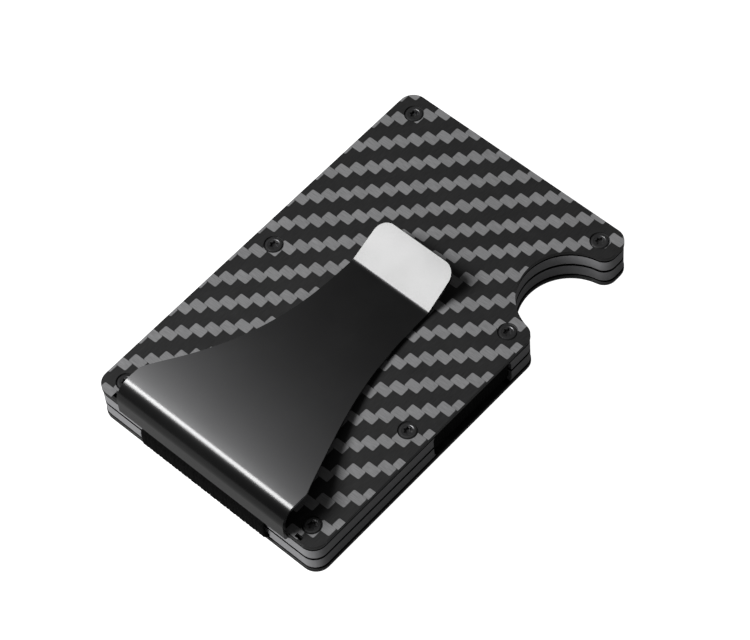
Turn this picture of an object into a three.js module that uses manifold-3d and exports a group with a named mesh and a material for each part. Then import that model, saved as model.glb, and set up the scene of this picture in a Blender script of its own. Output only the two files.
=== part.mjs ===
// Card wallet with a spring money clip.
//
// Two halves, each a carbon plate screwed to a frame, close on a stack of cards. A loop of elastic runs
// round both halves and a second strap runs round one end. The clip is a bent sheet of spring steel whose
// tab lies under the upper plate.
//
// Millimetres, +Z up. The origin is the middle of the lower plate's outer face. +X runs from the end with
// the clip's fold to the open end, and the thumb notch is in the -Y side.

import * as THREE from 'three';
import { mergeVertices } from 'three/addons/utils/BufferGeometryUtils.js';
import Module from 'manifold-3d';

// ---- Driving dimensions -------------------------------------------------------------------------------

const LENGTH = 85.8;
const WIDTH = 53.8;
const CORNER_RADIUS = 3;

const PLATE_THICKNESS = 0.9;
const FRAME_THICKNESS = 3.1;
const SEAM = 0.25; // shadow line between a plate and its frame
const CARD_GAP = 0.3; // between the two frames when the wallet is empty
const FRAME_INSET = 0.1; // the frames' edges lie this far inside the plates' edges
const EDGE_CHAMFER = 0.1;

const NOTCH_X = 26;
const NOTCH_Y = -26.6;
const NOTCH_RADIUS = 9.95;
const NOTCH_FILLET = 2.75;

const SCREW_PLACES = [
  [-38.9, 22.75],
  [0, 22.75],
  [38.9, 22.75],
  [38.9, -22.75],
  [13.1, -22.75],
  [-13.9, -22.75],
  [-38.9, -22.75],
];
const BAND_SCREW_PLACE = SCREW_PLACES[1]; // this screw also goes through the cross band and pins it
const SCREW_HEAD_RADIUS = 1.75;
const SCREW_SHANK_RADIUS = 1;
const SCREW_HEAD_HEIGHT = 0.8;
const SCREW_LENGTH = 3.8;
const SOCKET_RADIUS = 0.85;
const SOCKET_DEPTH = 0.7;
const SCREW_CLEARANCE = 0.15;

const BAND_THICKNESS = 1;
const BAND_CLEARANCE = 0.1;
const WINDOW_CLEARANCE = 0.3; // each side of a band's width
const CROSS_BAND_X = [-11.5, 9];
const CROSS_BAND_INSET = 0.6; // how far the band lies inside the plates' edges
const END_BAND_Y = [-15.2, 14.8];
const END_BAND_BULGE = 1; // how far the strap stands out past the plates' end
const BAND_BEND_RADIUS = 1.3;
const HEM_X = [-30.2, -26.5];
const HEM_THICKNESS = 1.65;

const SHEET = 0.7; // clip's sheet thickness
const CLIP_SIDES_Y = [-20.6, 19.8]; // the clip sits a little towards the notch's side
const CLIP_WALL_GAP = 0.15; // between the plate's end and the clip's wall
const TAB_END_X = -30.6;
const RELIEF_X = [-42.5, -41.7]; // small slots through the upper plate, past both ends of the clip's wall
const RELIEF_LENGTH = 1.5;
const RELIEF_GAP = 1.3; // between the wall's end and the slot
const TAB_CLEARANCE = 0.1; // between the tab and the plate above it
const TAB_BEND_RADIUS = 0.75; // all bend radii are to the middle of the sheet
const FOLD_RADIUS = 3.05;
const FOLD_HEIGHT = 5.85; // middle of the sheet above the upper plate, at the top of the fold
const HINGE_X = -40; // where the leaf flexes from
const HINGE_GAP = 0.3;
const LEAF_SHOULDER_X = -37.3; // the leaf keeps its full width up to here
const LEAF_TAPER_POINT = [-19.3, 12]; // its sides then aim for this point,
const LEAF_WAIST_X = -10.5; // and are parallel again from about here
const LEAF_LEVEL_RUN = 8.9; // how far the leaf leads off level from the fold
const LEAF_FLAT_RUN = 37.2; // how far it runs nearly flat before the lip
const LIP_BEND_X = 6.4;
const LIP_BEND_HALF_WIDTH = 9.2;
const LIP_TIP_X = 15.1;
const LIP_TIP_HALF_WIDTH = 9.05;
const LIP_CORNER_RADIUS = 2.9;
const LIP_ANGLE = THREE.MathUtils.degToRad(28);
const LIP_BEND_RADIUS = 2.5;
const LEAF_REST_GAP = 0.2; // under the leaf where it presses on the plate

const CLIP_SCREW_PLACES = [
  [-35.2, -17.9],
  [-35.2, 17.9],
];
const CLIP_SCREW_HEAD_RADIUS = 1.35;
const CLIP_SCREW_SHANK_RADIUS = 0.7;
const CLIP_SCREW_HEAD_HEIGHT = 0.5;
const CLIP_SCREW_LENGTH = 1.9;

const CURVE_STEPS = 5;
const ROUND_SEGMENTS = 16;

// ---- Levels worked out from the dimensions ------------------------------------------------------------

const LOWER_FRAME_BOTTOM = PLATE_THICKNESS + SEAM;
const LOWER_FRAME_TOP = LOWER_FRAME_BOTTOM + FRAME_THICKNESS;
const UPPER_FRAME_BOTTOM = LOWER_FRAME_TOP + CARD_GAP;
const UPPER_FRAME_TOP = UPPER_FRAME_BOTTOM + FRAME_THICKNESS;
const UPPER_PLATE_BOTTOM = UPPER_FRAME_TOP + SEAM;
const TOP = UPPER_PLATE_BOTTOM + PLATE_THICKNESS;

const TAB_TOP = UPPER_PLATE_BOTTOM - TAB_CLEARANCE;
const TAB_BOTTOM = TAB_TOP - SHEET;
const WALL_X = -LENGTH / 2 - CLIP_WALL_GAP - SHEET / 2; // middle of the wall's sheet

const CROSS_BAND_TOP = UPPER_FRAME_TOP - BAND_CLEARANCE;
const CROSS_BAND_BOTTOM = LOWER_FRAME_BOTTOM + BAND_CLEARANCE;
const CROSS_BAND_SIDE = WIDTH / 2 - CROSS_BAND_INSET;
const END_STRAP_TOP = TAB_BOTTOM - BAND_CLEARANCE;
const END_STRAP_BOTTOM = LOWER_FRAME_BOTTOM + BAND_CLEARANCE;
const END_STRAP_SIDE = -LENGTH / 2 - END_BAND_BULGE;

// ---- Solids -------------------------------------------------------------------------------------------

const wasm = await Module();
wasm.setup();

function toSolid(geometry) {
  const bare = geometry.clone();
  bare.deleteAttribute('normal');
  bare.deleteAttribute('uv');
  const merged = mergeVertices(bare, 1e-5);
  return new wasm.Manifold(
    new wasm.Mesh({
      numProp: 3,
      vertProperties: new Float32Array(merged.attributes.position.array),
      triVerts: new Uint32Array(merged.index.array),
    }),
  );
}

function toGeometry(solid) {
  const mesh = solid.getMesh();
  const geometry = new THREE.BufferGeometry();
  geometry.setAttribute('position', new THREE.BufferAttribute(mesh.vertProperties, 3));
  geometry.setIndex(new THREE.BufferAttribute(mesh.triVerts, 1));
  geometry.computeVertexNormals();
  return geometry;
}

function cut(geometry, tools) {
  let solid = toSolid(geometry);
  for (const tool of tools) {
    solid = solid.subtract(toSolid(tool));
  }
  return toGeometry(solid);
}

function common(first, second) {
  return toGeometry(toSolid(first).intersect(toSolid(second)));
}

function box(x0, x1, y0, y1, z0, z1) {
  const geometry = new THREE.BoxGeometry(x1 - x0, y1 - y0, z1 - z0);
  return geometry.translate((x0 + x1) / 2, (y0 + y1) / 2, (z0 + z1) / 2);
}

// A shape drawn in X and Y, filled from z0 to z1, with an optional chamfer round both faces.
function fillUp(shape, z0, z1, chamfer = 0) {
  const geometry = new THREE.ExtrudeGeometry(shape, {
    depth: z1 - z0 - 2 * chamfer,
    curveSegments: CURVE_STEPS,
    bevelEnabled: chamfer > 0,
    bevelThickness: chamfer,
    bevelSize: chamfer,
    bevelOffset: -chamfer,
    bevelSegments: 1,
  });
  return geometry.translate(0, 0, z0 + chamfer);
}

// A shape drawn in X and Z, filled from y0 to y1.
function fillAcross(shape, y0, y1) {
  const geometry = new THREE.ExtrudeGeometry(shape, {
    depth: y1 - y0,
    curveSegments: CURVE_STEPS,
    bevelEnabled: false,
  });
  return geometry.rotateX(Math.PI / 2).translate(0, y1, 0);
}

// A shape drawn in Y and Z, filled from x0 to x1.
function fillAlong(shape, x0, x1) {
  return fillAcross(shape, -x1, -x0).rotateZ(Math.PI / 2);
}

// A turned shape on a vertical axis, from [radius, height] pairs that run from the bottom to the top.
function turned(profile) {
  const points = profile.map(([radius, height]) => new THREE.Vector2(radius, height));
  return new THREE.LatheGeometry(points, ROUND_SEGMENTS).rotateX(Math.PI / 2);
}

// ---- Outlines -----------------------------------------------------------------------------------------

// The wallet's outline with its thumb notch, drawn inset by a distance.
function walletOutline(inset = 0) {
  const right = LENGTH / 2 - inset;
  const top = WIDTH / 2 - inset;
  const corner = CORNER_RADIUS - inset;
  const notch = NOTCH_RADIUS + inset;
  const fillet = NOTCH_FILLET - inset;
  const filletY = -top + fillet;
  const rise = filletY - NOTCH_Y;
  const reach = Math.sqrt((notch + fillet) ** 2 - rise ** 2);
  const lean = Math.atan2(rise, reach);

  const outline = new THREE.Shape();
  outline.moveTo(-right + corner, -top);
  outline.absarc(NOTCH_X - reach, filletY, fillet, -Math.PI / 2, -lean, false);
  outline.absarc(NOTCH_X, NOTCH_Y, notch, Math.PI - lean, lean, true);
  outline.absarc(NOTCH_X + reach, filletY, fillet, Math.PI + lean, Math.PI * 1.5, false);
  outline.absarc(right - corner, -top + corner, corner, -Math.PI / 2, 0, false);
  outline.absarc(right - corner, top - corner, corner, 0, Math.PI / 2, false);
  outline.absarc(-right + corner, top - corner, corner, Math.PI / 2, Math.PI, false);
  outline.absarc(-right + corner, -top + corner, corner, Math.PI, Math.PI * 1.5, false);
  return outline;
}

// A rounded rectangle between two corners.
function roundedRectangle(a0, b0, a1, b1, radius) {
  const outline = new THREE.Shape();
  outline.moveTo(a0 + radius, b0);
  outline.absarc(a1 - radius, b0 + radius, radius, -Math.PI / 2, 0, false);
  outline.absarc(a1 - radius, b1 - radius, radius, 0, Math.PI / 2, false);
  outline.absarc(a0 + radius, b1 - radius, radius, Math.PI / 2, Math.PI, false);
  outline.absarc(a0 + radius, b0 + radius, radius, Math.PI, Math.PI * 1.5, false);
  return outline;
}

// The side outline of a sheet whose middle follows a path.
function sheetOutline(path, stepsPerCurve) {
  const above = [];
  const below = [];
  path.curves.forEach((curve, order) => {
    const steps = curve instanceof THREE.LineCurve ? 1 : stepsPerCurve;
    const first = order === 0 ? 0 : 1;
    for (let step = first; step <= steps; step += 1) {
      const middle = curve.getPoint(step / steps);
      const along = curve.getTangent(step / steps);
      const side = new THREE.Vector2(-along.y, along.x).multiplyScalar(SHEET / 2);
      above.push(middle.clone().add(side));
      below.push(middle.clone().sub(side));
    }
  });
  return new THREE.Shape([...below, ...above.reverse()]);
}

function arc(x, y, radius, from, to, clockwise) {
  return new THREE.EllipseCurve(x, y, radius, radius, from, to, clockwise);
}

// ---- Plates and frames --------------------------------------------------------------------------------

// A countersunk screw, head up, with its top at height 0.
function screw(headRadius, headHeight, shankRadius, length, socketRadius, socketDepth) {
  const body = turned([
    [0, -length],
    [shankRadius - 0.2, -length],
    [shankRadius, -length + 0.3],
    [shankRadius, -headHeight],
    [headRadius, -0.15],
    [headRadius, 0],
    [0, 0],
  ]);
  const socket = new THREE.CylinderGeometry(socketRadius, socketRadius * 0.8, socketDepth * 2, 6);
  return cut(body, [socket.rotateX(Math.PI / 2)]);
}

// The hole that such a screw needs, with its mouth at height 0.
function screwHole(headRadius, headHeight, shankRadius, depth) {
  const head = headRadius + SCREW_CLEARANCE;
  const shank = shankRadius + SCREW_CLEARANCE;
  return turned([
    [0, -depth],
    [shank, -depth],
    [shank, -headHeight - SCREW_CLEARANCE],
    [head, -SCREW_CLEARANCE],
    [head, 1],
    [0, 1],
  ]);
}

// Puts a copy of a piece that faces up at each place, at a height, facing up (1) or down (-1).
function placeAt(piece, places, height, facing) {
  return places.map(([x, y]) => {
    const copy = piece.clone();
    if (facing < 0) {
      copy.rotateX(Math.PI);
    }
    return copy.translate(x, y, height);
  });
}

const plateScrewHole = screwHole(
  SCREW_HEAD_RADIUS,
  SCREW_HEAD_HEIGHT,
  SCREW_SHANK_RADIUS,
  SCREW_LENGTH + SCREW_CLEARANCE,
);
const clipScrewHole = screwHole(
  CLIP_SCREW_HEAD_RADIUS,
  CLIP_SCREW_HEAD_HEIGHT,
  CLIP_SCREW_SHANK_RADIUS,
  CLIP_SCREW_LENGTH + SCREW_CLEARANCE,
);

function carbonPlate(bottom, facing, slots) {
  const blank = fillUp(walletOutline(), bottom, bottom + PLATE_THICKNESS, EDGE_CHAMFER);
  const outerFace = facing > 0 ? bottom + PLATE_THICKNESS : bottom;
  return cut(blank, [...slots, ...placeAt(plateScrewHole, SCREW_PLACES, outerFace, facing)]);
}

// The slots that let the upper plate give a little where the clip's wall ends.
function reliefSlots() {
  const [low, high] = CLIP_SIDES_Y;
  const near = RELIEF_GAP;
  const far = RELIEF_GAP + RELIEF_LENGTH;
  return [
    box(...RELIEF_X, high + near, high + far, UPPER_FRAME_TOP, TOP + 1),
    box(...RELIEF_X, low - far, low - near, UPPER_FRAME_TOP, TOP + 1),
  ];
}

// The spaces that the cross band and the end strap take out of both frames.
function bandSpaces() {
  const channelFloor = BAND_THICKNESS + 2 * BAND_CLEARANCE;
  const x0 = CROSS_BAND_X[0] - WINDOW_CLEARANCE;
  const x1 = CROSS_BAND_X[1] + WINDOW_CLEARANCE;
  const side = CROSS_BAND_SIDE - BAND_THICKNESS - BAND_CLEARANCE;
  const y0 = END_BAND_Y[0] - WINDOW_CLEARANCE;
  const y1 = END_BAND_Y[1] + WINDOW_CLEARANCE;
  const end = END_STRAP_SIDE + BAND_THICKNESS + BAND_CLEARANCE;
  const hemEnd = HEM_X[1] + BAND_CLEARANCE * 2;
  return [
    box(x0, x1, -WIDTH, WIDTH, UPPER_FRAME_TOP - channelFloor, TOP),
    box(x0, x1, -WIDTH, WIDTH, 0, LOWER_FRAME_BOTTOM + channelFloor),
    box(x0, x1, side, WIDTH, 0, TOP),
    box(x0, x1, -WIDTH, -side, 0, TOP),
    box(-LENGTH, end, y0, y1, 0, TOP),
    box(-LENGTH, hemEnd, y0, y1, END_STRAP_TOP - BAND_THICKNESS - BAND_CLEARANCE, TOP),
    box(-LENGTH, hemEnd, y0, y1, 0, LOWER_FRAME_BOTTOM + channelFloor),
    box(HEM_X[0] - WINDOW_CLEARANCE, hemEnd, y0, y1, 0, END_STRAP_BOTTOM + HEM_THICKNESS + BAND_CLEARANCE),
  ];
}

function upperFrame() {
  const blank = fillUp(walletOutline(FRAME_INSET), UPPER_FRAME_BOTTOM, UPPER_FRAME_TOP);
  const y0 = CLIP_SIDES_Y[0] - WINDOW_CLEARANCE;
  const y1 = CLIP_SIDES_Y[1] + WINDOW_CLEARANCE;
  const tabSpace = box(-LENGTH, TAB_END_X, y0, y1, TAB_BOTTOM - BAND_CLEARANCE, TOP);
  return cut(blank, [
    ...bandSpaces(),
    tabSpace,
    ...placeAt(plateScrewHole, SCREW_PLACES, TOP, 1),
    ...placeAt(clipScrewHole, CLIP_SCREW_PLACES, TAB_TOP, 1),
  ]);
}

function lowerFrame() {
  const blank = fillUp(walletOutline(FRAME_INSET), LOWER_FRAME_BOTTOM, LOWER_FRAME_TOP);
  return cut(blank, [...bandSpaces(), ...placeAt(plateScrewHole, SCREW_PLACES, 0, -1)]);
}

// ---- Elastic bands ------------------------------------------------------------------------------------

// One closed loop round both frames, in channels under the two plates.
function crossBand() {
  const outer = roundedRectangle(
    -CROSS_BAND_SIDE,
    CROSS_BAND_BOTTOM,
    CROSS_BAND_SIDE,
    CROSS_BAND_TOP,
    BAND_BEND_RADIUS,
  );
  outer.holes.push(
    roundedRectangle(
      -CROSS_BAND_SIDE + BAND_THICKNESS,
      CROSS_BAND_BOTTOM + BAND_THICKNESS,
      CROSS_BAND_SIDE - BAND_THICKNESS,
      CROSS_BAND_TOP - BAND_THICKNESS,
      BAND_BEND_RADIUS - BAND_THICKNESS,
    ),
  );
  const loop = fillAlong(outer, CROSS_BAND_X[0], CROSS_BAND_X[1]);
  return cut(loop, [
    ...placeAt(plateScrewHole, [BAND_SCREW_PLACE], TOP, 1),
    ...placeAt(plateScrewHole, [BAND_SCREW_PLACE], 0, -1),
  ]);
}

// A strap round the clip's end. Its two ends are folded into hems, which the plates trap in pockets.
function endBand() {
  const strapEnd = HEM_X[1];
  const inner = END_STRAP_SIDE + BAND_THICKNESS;
  const outline = roundedRectangle(
    END_STRAP_SIDE,
    END_STRAP_BOTTOM,
    END_STRAP_SIDE + LENGTH / 2,
    END_STRAP_TOP,
    BAND_BEND_RADIUS,
  );
  const loop = fillAcross(outline, END_BAND_Y[0], END_BAND_Y[1]);
  const hollow = fillAcross(
    roundedRectangle(
      inner,
      END_STRAP_BOTTOM + BAND_THICKNESS,
      LENGTH / 2,
      END_STRAP_TOP - BAND_THICKNESS,
      BAND_BEND_RADIUS - BAND_THICKNESS,
    ),
    END_BAND_Y[0] - 1,
    END_BAND_Y[1] + 1,
  );
  const beyond = box(strapEnd, LENGTH, -WIDTH, WIDTH, 0, TOP);
  const hems = [
    box(HEM_X[0], strapEnd, END_BAND_Y[0], END_BAND_Y[1], END_STRAP_BOTTOM,
      END_STRAP_BOTTOM + HEM_THICKNESS),
    box(HEM_X[0], strapEnd, END_BAND_Y[0], END_BAND_Y[1], END_STRAP_TOP - BAND_THICKNESS,
      END_STRAP_TOP - BAND_THICKNESS + HEM_THICKNESS),
  ];
  let strap = toSolid(cut(loop, [hollow, beyond]));
  for (const hem of hems) {
    strap = strap.add(toSolid(hem));
  }
  return toGeometry(strap);
}

// ---- Money clip ---------------------------------------------------------------------------------------

const TAB_MIDDLE = (TAB_TOP + TAB_BOTTOM) / 2;
const FOLD_MIDDLE = TOP + FOLD_HEIGHT;
const LEAF_REST = TOP + LEAF_REST_GAP + SHEET / 2;

// Tab, wall and fold, seen from the side, up to where the leaf begins to flex.
function clipBase() {
  const bendX = WALL_X + TAB_BEND_RADIUS;
  const foldX = WALL_X + FOLD_RADIUS;
  const path = new THREE.CurvePath();
  path.add(
    new THREE.LineCurve(
      new THREE.Vector2(TAB_END_X - WINDOW_CLEARANCE, TAB_MIDDLE),
      new THREE.Vector2(bendX, TAB_MIDDLE),
    ),
  );
  path.add(arc(bendX, TAB_MIDDLE + TAB_BEND_RADIUS, TAB_BEND_RADIUS, Math.PI * 1.5, Math.PI, true));
  path.add(
    new THREE.LineCurve(
      new THREE.Vector2(WALL_X, TAB_MIDDLE + TAB_BEND_RADIUS),
      new THREE.Vector2(WALL_X, FOLD_MIDDLE - FOLD_RADIUS),
    ),
  );
  path.add(arc(foldX, FOLD_MIDDLE - FOLD_RADIUS, FOLD_RADIUS, Math.PI, Math.PI / 2, true));
  path.add(
    new THREE.LineCurve(
      new THREE.Vector2(foldX, FOLD_MIDDLE),
      new THREE.Vector2(HINGE_X - HINGE_GAP / 2, FOLD_MIDDLE),
    ),
  );
  const sheet = fillAcross(sheetOutline(path, 6), ...CLIP_SIDES_Y);
  return cut(sheet, placeAt(clipScrewHole, CLIP_SCREW_PLACES, TAB_TOP, 1));
}

// The leaf's outline from above: square shoulders, waisted sides and a lip with round corners.
function leafOutline() {
  const start = HINGE_X + HINGE_GAP / 2;
  const [nearSide, farSide] = CLIP_SIDES_Y;
  const outline = new THREE.Shape();
  outline.moveTo(start, nearSide);
  outline.lineTo(LEAF_SHOULDER_X, nearSide);
  const [taperX, taperY] = LEAF_TAPER_POINT;
  const waist = LIP_BEND_HALF_WIDTH;
  outline.bezierCurveTo(taperX, -taperY, LEAF_WAIST_X, -waist, LIP_BEND_X, -waist);
  const cornerX = LIP_TIP_X - LIP_CORNER_RADIUS * Math.cos(LIP_ANGLE);
  const cornerY = LIP_TIP_HALF_WIDTH - LIP_CORNER_RADIUS;
  outline.lineTo(cornerX, -LIP_TIP_HALF_WIDTH);
  outline.absellipse(cornerX, -cornerY, LIP_TIP_X - cornerX, LIP_CORNER_RADIUS, -Math.PI / 2, 0, false);
  outline.absellipse(cornerX, cornerY, LIP_TIP_X - cornerX, LIP_CORNER_RADIUS, 0, Math.PI / 2, false);
  outline.lineTo(LIP_BEND_X, waist);
  outline.bezierCurveTo(LEAF_WAIST_X, waist, taperX, taperY, LEAF_SHOULDER_X, farSide);
  outline.lineTo(start, farSide);
  return outline;
}

// The leaf sweeps down from the fold to the plate and turns up again in the lip.
function clipArm() {
  const start = HINGE_X + HINGE_GAP / 2;
  const bendStart = LIP_BEND_X - (LIP_BEND_RADIUS * Math.sin(LIP_ANGLE)) / 2;
  const bendEndX = bendStart + LIP_BEND_RADIUS * Math.sin(LIP_ANGLE);
  const bendEndZ = LEAF_REST + LIP_BEND_RADIUS * (1 - Math.cos(LIP_ANGLE));
  const tipX = LIP_TIP_X + 1;
  const path = new THREE.CurvePath();
  path.add(
    new THREE.CubicBezierCurve(
      new THREE.Vector2(start, FOLD_MIDDLE),
      new THREE.Vector2(start + LEAF_LEVEL_RUN, FOLD_MIDDLE),
      new THREE.Vector2(bendStart - LEAF_FLAT_RUN, LEAF_REST),
      new THREE.Vector2(bendStart, LEAF_REST),
    ),
  );
  const bendFrom = -Math.PI / 2;
  path.add(
    arc(bendStart, LEAF_REST + LIP_BEND_RADIUS, LIP_BEND_RADIUS, bendFrom, bendFrom + LIP_ANGLE, false),
  );
  path.add(
    new THREE.LineCurve(
      new THREE.Vector2(bendEndX, bendEndZ),
      new THREE.Vector2(tipX, bendEndZ + (tipX - bendEndX) * Math.tan(LIP_ANGLE)),
    ),
  );
  const sheet = fillAcross(sheetOutline(path, 12), -WIDTH / 2, WIDTH / 2);
  return common(sheet, fillUp(leafOutline(), 0, TOP + 20));
}

// ---- Finishes -----------------------------------------------------------------------------------------

const carbonFibre = { color: 0x3c3c3e, roughness: 0.45, metalness: 0.1 };
const anodised = { color: 0x2a2a2c, roughness: 0.4, metalness: 0.6 };
const blackSteel = { color: 0x454548, roughness: 0.3, metalness: 0.9 };
const coatedSpring = { color: 0x3a3a3c, roughness: 0.22, metalness: 0.9 };
const elastic = { color: 0x101010, roughness: 0.9, metalness: 0 };

function part(name, geometry, finish) {
  const mesh = new THREE.Mesh(geometry, new THREE.MeshStandardMaterial(finish));
  mesh.name = name;
  return mesh;
}

// ---- Assembly -----------------------------------------------------------------------------------------

const plateScrew = screw(
  SCREW_HEAD_RADIUS,
  SCREW_HEAD_HEIGHT,
  SCREW_SHANK_RADIUS,
  SCREW_LENGTH,
  SOCKET_RADIUS,
  SOCKET_DEPTH,
);
const clipScrew = screw(
  CLIP_SCREW_HEAD_RADIUS,
  CLIP_SCREW_HEAD_HEIGHT,
  CLIP_SCREW_SHANK_RADIUS,
  CLIP_SCREW_LENGTH,
  SOCKET_RADIUS * 0.7,
  SOCKET_DEPTH / 2,
);
const SCREW_SINK = 0.03; // the heads sit this far below the plates' faces

const lowerHalf = new THREE.Group();
lowerHalf.add(part('lower_carbon_plate', carbonPlate(0, -1, []), carbonFibre));
lowerHalf.add(part('lower_frame', lowerFrame(), anodised));
placeAt(plateScrew, SCREW_PLACES, SCREW_SINK, -1).forEach((geometry, order) => {
  lowerHalf.add(part(`lower_screw_${order + 1}`, geometry, blackSteel));
});

const upperHalf = new THREE.Group();
upperHalf.add(part('upper_carbon_plate', carbonPlate(UPPER_PLATE_BOTTOM, 1, reliefSlots()), carbonFibre));
upperHalf.add(part('upper_frame', upperFrame(), anodised));
placeAt(plateScrew, SCREW_PLACES, TOP - SCREW_SINK, 1).forEach((geometry, order) => {
  upperHalf.add(part(`upper_screw_${order + 1}`, geometry, blackSteel));
});

const moneyClip = new THREE.Group();
moneyClip.add(part('clip_base', clipBase(), coatedSpring));
moneyClip.add(part('clip_arm', clipArm(), coatedSpring));
placeAt(clipScrew, CLIP_SCREW_PLACES, TAB_TOP - SCREW_SINK, 1).forEach((geometry, order) => {
  moneyClip.add(part(`clip_screw_${order + 1}`, geometry, blackSteel));
});

const elastics = new THREE.Group();
elastics.add(part('cross_band', crossBand(), elastic));
elastics.add(part('end_band', endBand(), elastic));

const group = new THREE.Group();
group.add(lowerHalf, upperHalf, moneyClip, elastics);
export default group;
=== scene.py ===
# %% [markdown]
# # A card wallet with a sprung money clip
#
# Two halves, each a carbon plate screwed to an aluminium frame, close on a stack of bank cards. Two
# elastic bands hold them together, and a bent steel sheet on top holds banknotes. We load the packed
# CAD model first. It is the frame that every piece below is measured from, so nothing needs fitting.

# %% Load the frame
import math

import bmesh
import bpy
from mathutils import Matrix, Vector


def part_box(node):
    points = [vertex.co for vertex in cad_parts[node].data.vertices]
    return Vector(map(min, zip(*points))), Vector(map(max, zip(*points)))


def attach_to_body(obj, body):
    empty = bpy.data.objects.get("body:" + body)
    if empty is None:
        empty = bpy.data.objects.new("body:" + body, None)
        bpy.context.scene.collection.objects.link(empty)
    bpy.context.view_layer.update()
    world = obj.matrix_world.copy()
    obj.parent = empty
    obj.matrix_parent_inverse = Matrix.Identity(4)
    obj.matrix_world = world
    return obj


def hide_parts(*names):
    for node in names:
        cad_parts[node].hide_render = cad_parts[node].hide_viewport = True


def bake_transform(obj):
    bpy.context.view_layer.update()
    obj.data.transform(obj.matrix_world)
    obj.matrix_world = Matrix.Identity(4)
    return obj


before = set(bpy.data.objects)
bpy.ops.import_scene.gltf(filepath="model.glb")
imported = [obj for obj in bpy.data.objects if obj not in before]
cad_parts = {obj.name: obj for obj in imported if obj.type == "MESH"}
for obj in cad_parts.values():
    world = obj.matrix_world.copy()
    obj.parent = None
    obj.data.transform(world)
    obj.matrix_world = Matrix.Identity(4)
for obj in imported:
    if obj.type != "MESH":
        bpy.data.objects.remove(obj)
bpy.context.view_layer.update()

MM = 0.001

# %% [markdown]
# ## Levels
#
# The wallet is a sandwich: plate, frame, card gap, frame, plate. We read each layer's box once and keep
# it by name, so that every later piece takes its place and its thickness from the CAD.

# %% Boxes of the layers
boxes = {name: tuple(Vector(corner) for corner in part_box(name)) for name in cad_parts}
TOP = boxes["upper_carbon_plate"][1].z
HALF_LENGTH = boxes["upper_carbon_plate"][1].x
HALF_WIDTH = boxes["upper_carbon_plate"][1].y
for name in ("lower_carbon_plate", "lower_frame", "upper_frame", "upper_carbon_plate"):
    low, high = boxes[name]
    print(f"{name}: z {low.z / MM:.2f} to {high.z / MM:.2f} mm")

# %% [markdown]
# ## Camera
#
# A long lens from a little over half a metre keeps the wallet's sides nearly parallel, as in a
# catalogue picture. We place the camera by two angles and a distance from the point it looks at, and
# roll it a few degrees, because the wallet lies slightly turned in the frame.

# %% Camera
AIM = Vector((-0.37 * MM, -2.745 * MM, TOP))
CAMERA_AZIMUTH = math.radians(-42.852)
CAMERA_ELEVATION = math.radians(56.714)
CAMERA_ROLL = math.radians(-6.097)
CAMERA_DISTANCE = 557.55 * MM
SENSOR_WIDTH = 36.0
FOCAL_LENGTH = 148.09


def look_from(azimuth, elevation):
    """The unit vector from the aim point towards an eye at two angles; azimuth 0 looks along +Y."""
    level = math.cos(elevation)
    return Vector((math.sin(azimuth) * level, -math.cos(azimuth) * level, math.sin(elevation)))


back = look_from(CAMERA_AZIMUTH, CAMERA_ELEVATION)
right = Vector((0, 0, 1)).cross(back).normalized()
up = back.cross(right)
turned_right = math.cos(CAMERA_ROLL) * right + math.sin(CAMERA_ROLL) * up
turned_up = math.cos(CAMERA_ROLL) * up - math.sin(CAMERA_ROLL) * right

bpy.ops.object.select_all(action="DESELECT")
bpy.ops.object.camera_add()
camera = bpy.context.object
camera.name = "camera"
camera.matrix_world = Matrix.Translation(AIM + back * CAMERA_DISTANCE) @ Matrix(
    (turned_right, turned_up, back)
).transposed().to_4x4()
camera.data.sensor_width = SENSOR_WIDTH
camera.data.lens = FOCAL_LENGTH
camera.data.clip_start = 0.01
bpy.context.scene.camera = camera
print("camera at", [round(v, 4) for v in camera.matrix_world.translation])

# %% [markdown]
# ## Small helpers
#
# Most pieces here start as a drawn outline. One vertex serves as a pen: extruding it draws a straight
# line, and spinning it round a centre draws an arc. The other helpers select parts of a mesh in code,
# the way you would box-select them by hand, and apply a modifier. Spin turns clockwise for a positive
# angle, so the pen negates it to keep the usual sense.

# %% Helpers
def deselect():
    if bpy.context.object and bpy.context.object.mode != "OBJECT":
        bpy.ops.object.mode_set(mode="OBJECT")
    bpy.ops.object.select_all(action="DESELECT")


def pick(*pieces):
    """Selects these objects only; the first is the active one."""
    deselect()
    for piece in pieces:
        piece.select_set(True)
    bpy.context.view_layer.objects.active = pieces[0]


def finish_edit():
    bpy.ops.object.mode_set(mode="OBJECT")


def select_everything():
    bpy.ops.mesh.select_all(action="SELECT")


def choose(piece, kind, test):
    """In edit mode, selects the vertices, edges or faces for which test is true, and says how many."""
    mesh = bmesh.from_edit_mesh(piece.data)
    bpy.ops.mesh.select_all(action="DESELECT")
    chosen = [item for item in getattr(mesh, kind) if test(item)]
    for item in chosen:
        item.select_set(True)
    mesh.select_flush_mode()
    bmesh.update_edit_mesh(piece.data)
    return len(chosen)


def draw(name, start, strokes, axis=(0, 0, 1)):
    """Draws a line from start. A stroke is a point to go to, or (centre, degrees, steps) for an arc."""
    deselect()
    bpy.ops.mesh.primitive_plane_add(size=MM)
    piece = bpy.context.object
    piece.name = piece.data.name = name
    bpy.ops.object.mode_set(mode="EDIT")
    bpy.ops.mesh.select_mode(type="VERT")
    select_everything()
    bpy.ops.mesh.merge(type="CENTER")
    here = Vector(start)
    bpy.ops.transform.translate(value=here)
    for stroke in strokes:
        if len(stroke) == 3 and isinstance(stroke[0], Vector):
            centre, degrees, steps = stroke
            bpy.ops.mesh.spin(
                steps=steps, dupli=False, angle=-math.radians(degrees), center=centre, axis=axis
            )
            turn = Matrix.Rotation(math.radians(degrees), 3, Vector(axis))
            here = centre + turn @ (here - centre)
        else:
            bpy.ops.mesh.extrude_vertices_move(TRANSFORM_OT_translate={"value": Vector(stroke) - here})
            here = Vector(stroke)
    return piece


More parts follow.
